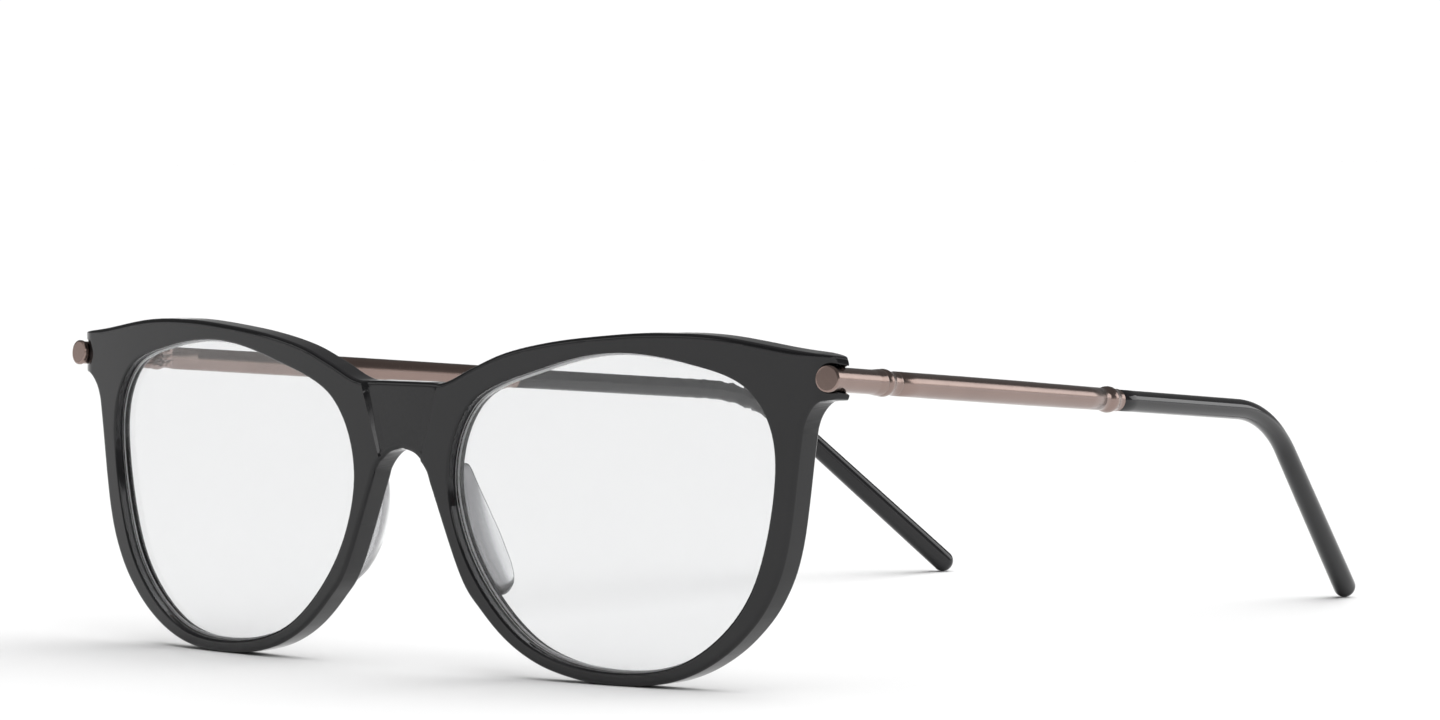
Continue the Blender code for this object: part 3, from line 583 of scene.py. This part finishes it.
def makePad(side):
    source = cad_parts[f"nose_pad_{side}"]
    obj = bpy.data.objects.new(f"crystal_pad_{side}", source.data.copy())
    bpy.context.scene.collection.objects.link(obj)
    editAll(obj)
    bpy.ops.mesh.remove_doubles(threshold=0.00002)
    bpy.ops.mesh.dissolve_limited(angle_limit=math.radians(0.5))
    bpy.ops.mesh.tris_convert_to_quads(face_threshold=math.radians(70), shape_threshold=math.radians(70))
    bpy.ops.mesh.normals_make_consistent(inside=False)
    leaveEdit()
    makeActive(obj)
    bpy.ops.object.modifier_add(type="SUBSURF")
    obj.modifiers[-1].levels = pad["smoothing"]
    obj.modifiers[-1].render_levels = pad["smoothing"]
    bpy.ops.object.modifier_apply(modifier=obj.modifiers[-1].name)
    obj.data.transform(Matrix.Translation((0, -pad["intoRim"], 0)))
    smoothShade(obj, 60)
    return obj


for side in ("left", "right"):
    finish(makePad(side), "front", "crystal_pad", crystalPad, f"nose_pad_{side}")
print("pads made")


# turned metal along the temple

def direction(turnedIn, slope):
    level = math.cos(math.radians(slope))
    turn = math.radians(turnedIn)
    return Vector((-math.sin(turn) * level, math.cos(turn) * level, -math.sin(math.radians(slope))))


templeAxis = direction(temple["turnedIn"], temple["slope"])
tipAxis = direction(temple["tipTurnedIn"], temple["tipSlope"])
outward = templeAxis.cross(Vector((0, 0, 1))).normalized()
templeUp = outward.cross(templeAxis)
capFace = Vector((placing["barrelX"], -0.0007, barrelZ)) + Vector(placing["shift"])


def turnedPiece(name, stations, sides=72):
    # a circle drawn out station by station: (distance along the temple, radius)
    deselectAll()
    along, radius = stations[0]
    bpy.ops.mesh.primitive_circle_add(
        vertices=sides, radius=radius, fill_type="NOTHING", location=(0, 0, along)
    )
    obj = bpy.context.active_object
    obj.name = name
    bpy.ops.object.transform_apply(location=True, rotation=True, scale=True)
    editAll(obj)
    for nextAlong, nextRadius in stations[1:]:
        bpy.ops.mesh.extrude_region_move(TRANSFORM_OT_translate={"value": (0, 0, nextAlong - along)})
        size = nextRadius / radius
        bpy.ops.transform.resize(value=(size, size, 1), center_override=(0, 0, nextAlong))
        along, radius = nextAlong, nextRadius
    bpy.ops.mesh.select_all(action="DESELECT")
    bpy.ops.mesh.select_non_manifold(extend=False)
    bpy.ops.mesh.edge_face_add()
    bpy.ops.mesh.select_all(action="SELECT")
    bpy.ops.mesh.normals_make_consistent(inside=False)
    leaveEdit()
    columns = (templeUp, outward, templeAxis)
    obj.data.transform(Matrix.Translation(capFace) @ Matrix(columns).transposed().to_4x4())
    obj.data.name = name
    return obj


def arcStations(alongStart, alongEnd, radiusStart, radiusEnd, bulge, steps=8):
    # a soft swell or dip between two stations
    stations = []
    for k in range(steps + 1):
        t = k / steps
        radius = radiusStart + (radiusEnd - radiusStart) * t + bulge * math.sin(math.pi * t)
        stations.append((alongStart + (alongEnd - alongStart) * t, radius))
    return stations


tube = dict(
    joint=0.0122, gap=0.00005, radius=0.0015, disc=0.00163, neck=0.00138,
    start=0.0159, end=0.0683, middle=0.00153, back=0.00146, tipStart=0.0734,
)


def capStations():
    r = tube["disc"]
    return [(0, r - 0.00026), (0, r - 0.00014), (0.00004, r - 0.00005), (0.00013, r), (0.00042, r),
            (0.00050, r - 0.0001), (0.00054, 0.00146)]


def barrelStations():
    j, r = tube["joint"], tube["radius"]
    start = 0.00054
    stations = [(start, r - 0.00006), (start + 0.00006, r)]
    stations += [(j - 0.0019, r)] + arcStations(j - 0.0017, j - 0.00045, r, r + 0.00011, 0.00001, 6)
    stations += [(j - 0.00025, r + 0.00013), (j - 0.0001, r + 0.0001), (j - tube["gap"], r + 0.00002)]
    stations += [(j - tube["gap"], 0.00112), (j - 0.0014, 0.00110)]
    return stations


def beadStations():
    first = tube["joint"] + tube["gap"]
    r, end = tube["radius"], tube["start"]
    stations = [(first + 0.0010, 0.00104), (first, 0.00106), (first, r + 0.00004)]
    stations += arcStations(first + 0.00012, first + 0.0017, r + 0.0001, r - 0.00002, 0.00016, 10)
    stations += arcStations(first + 0.0019, first + 0.0033, tube["neck"] + 0.00003, r - 0.00002, -0.00005, 7)
    stations += [(end - 0.00015, r), (end - 0.00002, r - 0.00006)]
    return stations


def tubeStations():
    s, e = tube["start"], tube["end"]
    stations = [(s, tube["radius"] - 0.00006), (s + 0.0001, tube["radius"])]
    count = 14
    for k in range(1, count):
        t = k / count
        swell = tube["middle"] - tube["radius"]
        drop = max(0.0, (t - 0.6) / 0.4) * (tube["middle"] - tube["back"])
        stations.append((s + (e - s) * t, tube["radius"] + swell * min(1.0, t / 0.25) - drop))
    stations += [(e - 0.0001, tube["back"]), (e, tube["back"] - 0.00006)]
    return stations


def rearBeadStations():
    s = tube["end"] + 0.00004
    e = tube["tipStart"] - 0.0002
    r, neck = tube["radius"], tube["neck"]
    stations = [(s, tube["back"] - 0.00006), (s + 0.0003, neck), (s + 0.0010, neck)]
    stations += arcStations(s + 0.0012, s + 0.0036, neck + 0.00005, r - 0.00002, 0.00027, 12)
    stations += arcStations(s + 0.0038, e, r - 0.00004, r - 0.00003, -0.00004, 5)
    stations += [(e + 0.00006, r - 0.0001)]
    return stations


turned = (
    ("end_disc", capStations, "front", "barrel_cap"),
    ("end_tube", barrelStations, "front", "end_barrel"),
    ("joint_bead", beadStations, "temple", "front_bead"),
    ("long_tube", tubeStations, "temple", "temple_tube"),
    ("collar_bead", rearBeadStations, "temple", "rear_bead"),
)
for name, stations, body, node in turned:
    left = turnedPiece(f"{name}_left", stations())
    right = mirrored(left, f"{name}_right")
    for obj, side in ((left, "left"), (right, "right")):
        smoothShade(obj, 32, weighted=True)
        owner = body if body == "front" else f"temple_{side}"
        finish(obj, owner, "bronze_metal", bronzeMetal, f"{node}_{side}")
print("tubes and beads made")


# moulded ear tips

tip = dict(ear=0.1176, bend=0.030, frontRadius=0.0014, bendRadius=0.00136, endRadius=0.00158)


def tipLine():
    corner = capFace + templeAxis * tip["ear"]
    angle = templeAxis.angle(tipAxis)
    back = tip["bend"] * math.tan(angle / 2)
    leg = (corner.z - tip["endRadius"]) / -tipAxis.z
    start = capFace + templeAxis * tube["tipStart"]
    bendStart = corner - templeAxis * back
    line = [start + (bendStart - start) * k / 10 for k in range(10)]
    turnAxis = templeAxis.cross(tipAxis).normalized()
    centre = bendStart + turnAxis.cross(templeAxis) * tip["bend"]
    for k in range(21):
        line.append(centre + Matrix.Rotation(angle * k / 20, 3, turnAxis) @ (bendStart - centre))
    line += [corner + tipAxis * (back + (leg - back) * k / 14) for k in range(1, 15)]
    return line


def makeTip():
    line = tipLine()
    count = len(line) - 1
    radii = []
    for k in range(count + 1):
        share = k / count
        if share < 0.6:
            radii.append(tip["frontRadius"] + (tip["bendRadius"] - tip["frontRadius"]) * share / 0.6)
        else:
            radii.append(tip["bendRadius"] + (tip["endRadius"] - tip["bendRadius"]) * (share - 0.6) / 0.4)
    last = line[-1]
    for k in range(1, 10):
        angle = math.radians(9.8 * k)
        line.append(last + tipAxis * tip["endRadius"] * 0.96 * math.sin(angle))
        radii.append(tip["endRadius"] * math.cos(angle) * 0.995)
    line.insert(1, line[0] + templeAxis * 0.00012)  # the front edge is eased
    radii[0] -= 0.0001
    radii.insert(1, tip["frontRadius"])
    curve = bpy.data.curves.new("ear_tip_left", "CURVE")
    curve.dimensions = "3D"
    curve.bevel_depth = 0.001
    curve.bevel_resolution = 14
    curve.use_fill_caps = True
    spline = curve.splines.new("POLY")
    spline.points.add(len(line) - 1)
    for spot, place, radius in zip(spline.points, line, radii):
        spot.co = (*place, 1)
        spot.radius = radius / 0.001
    obj = bpy.data.objects.new("ear_tip_left", curve)
    bpy.context.scene.collection.objects.link(obj)
    makeActive(obj)
    bpy.ops.object.convert(target="MESH")
    obj = bpy.context.active_object
    editAll(obj)
    bpy.ops.mesh.remove_doubles(threshold=0.000001)
    bpy.ops.mesh.normals_make_consistent(inside=False)
    leaveEdit()
    return obj


tipLeft = makeTip()
tipRight = mirrored(tipLeft, "ear_tip_right")
for obj, side in ((tipLeft, "left"), (tipRight, "right")):
    smoothShade(obj, 40)
    finish(obj, f"temple_{side}", "black_acetate", blackAcetate, f"temple_tip_{side}")
print("tips made")


# hinges with eased edges, from copies of the plain ones

hinge = dict(edge=0.00010, segments=2)


def makeHinge(name, node):
    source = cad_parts[node]
    obj = bpy.data.objects.new(name, source.data.copy())
    bpy.context.scene.collection.objects.link(obj)
    editAll(obj)
    bpy.ops.mesh.remove_doubles(threshold=0.000005)
    bpy.ops.mesh.dissolve_limited(angle_limit=math.radians(2))
    leaveEdit()
    makeActive(obj)
    bpy.ops.object.modifier_add(type="BEVEL")
    bevel = obj.modifiers[-1]
    bevel.width = hinge["edge"]
    bevel.segments = hinge["segments"]
    bevel.limit_method = "ANGLE"
    bevel.angle_limit = math.radians(45)
    bpy.ops.object.modifier_apply(modifier=bevel.name)
    smoothShade(obj, 35)
    return obj


for side in ("left", "right"):
    for name, node, body in (
        (f"front_leaf_{side}", f"front_hinge_{side}", "front"),
        (f"temple_leaf_{side}", f"temple_hinge_{side}", f"temple_{side}"),
    ):
        finish(makeHinge(name, node), body, "bronze_metal", bronzeMetal, node)
print("hinges made")

# what stays from the frame
for node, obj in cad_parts.items():
    if obj.hide_render:
        continue
    obj.data.materials.clear()
    obj.data.materials.append(screwSteel)

# floor, light and camera

stage = dict(
    floorSize=8,
    floorGrey=0.80,
    world=((0.0, 1.0), (0.035, 1.0), (0.09, 0.30), (0.30, 0.16), (0.75, 0.16), (1.0, 0.35)),
    worldStrength=1.05,
    # lights: place, size across, size up, watts, whether reflections show it
    softbox=((0.50, 1.15, 0.36), 0.70, 0.46, 1.9, True),
    front=((-0.9, -1.2, 0.55), 0.8, 0.5, 1.2, True),
    side=((1.15, -0.62, 0.60), 0.45, 0.40, 1.6, True),
    # wide light that only the floor and plain surfaces show: where it comes from, strength, spread in degrees
    sky=((0.4, 0.3, 1.0), 3.7, 100),
)
deselectAll()
bpy.ops.mesh.primitive_plane_add(size=stage["floorSize"], location=(0, 0, 0))
floor = bpy.context.active_object
floor.name = "studio_floor"
floorMaterial, floorShader = startMaterial("paleFloor", (stage["floorGrey"],) * 3, 0.9)
floorShader.inputs["Specular IOR Level"].default_value = 0.0
floor.data.materials.append(floorMaterial)

world = bpy.data.worlds.new("softStudio")
bpy.context.scene.world = world
world.use_nodes = True
tree = world.node_tree
sky = tree.nodes["Background"]
place = tree.nodes.new("ShaderNodeTexCoord")
split = tree.nodes.new("ShaderNodeSeparateXYZ")
ramp = tree.nodes.new("ShaderNodeValToRGB")
tree.links.new(place.outputs["Generated"], split.inputs["Vector"])
tree.links.new(split.outputs["Z"], ramp.inputs["Fac"])
tree.links.new(ramp.outputs["Color"], sky.inputs["Color"])
marks = ramp.color_ramp.elements
while len(marks) < len(stage["world"]):
    marks.new(0.5)
for mark, (height, grey) in zip(marks, stage["world"]):
    mark.position = height
    mark.color = (grey, grey, grey, 1)
sky.inputs["Strength"].default_value = stage["worldStrength"]

for name in ("softbox", "front", "side"):
    where, across, up, watts, shows = stage[name]
    deselectAll()
    bpy.ops.object.light_add(type="AREA", location=where)
    lamp = bpy.context.active_object
    lamp.name = f"{name}_light"
    lamp.data.shape = "RECTANGLE"
    lamp.data.size = across
    lamp.data.size_y = up
    lamp.data.energy = watts
    lamp.visible_glossy = shows
    lamp.visible_camera = False
    lamp.rotation_euler = (Vector(where) - Vector((0, 0, 0.02))).to_track_quat("Z", "Y").to_euler()
where, strength, spread = stage["sky"]
deselectAll()
bpy.ops.object.light_add(type="SUN", location=where)
lamp = bpy.context.active_object
lamp.name = "sky_light"
lamp.data.energy = strength
lamp.data.angle = math.radians(spread)
lamp.visible_glossy = False
lamp.rotation_euler = Vector(where).to_track_quat("Z", "Y").to_euler()
print("floor and lights set")

bpy.context.scene.view_settings.view_transform = "Standard"

view = dict(
    place=(0.49698, -0.575256, 0.072011),
    target=(0.0491, -0.071316, 0.040041),
    roll=-0.51,
    lens=140.06,
)
camera = bpy.data.objects.new("camera", bpy.data.cameras.new("camera"))
bpy.context.scene.collection.objects.link(camera)
camera.data.lens = view["lens"]
camera.data.sensor_width = 36
camera.data.clip_start = 0.01
away = (Vector(view["place"]) - Vector(view["target"])).normalized()
level = Vector((0, 0, 1)).cross(away).normalized()
upright = away.cross(level)
roll = math.radians(view["roll"])
sideways = level * math.cos(roll) + upright * math.sin(roll)
upward = away.cross(sideways)
turn = Matrix((sideways, upward, away)).transposed().to_4x4()
camera.matrix_world = Matrix.Translation(view["place"]) @ turn
bpy.context.scene.camera = camera
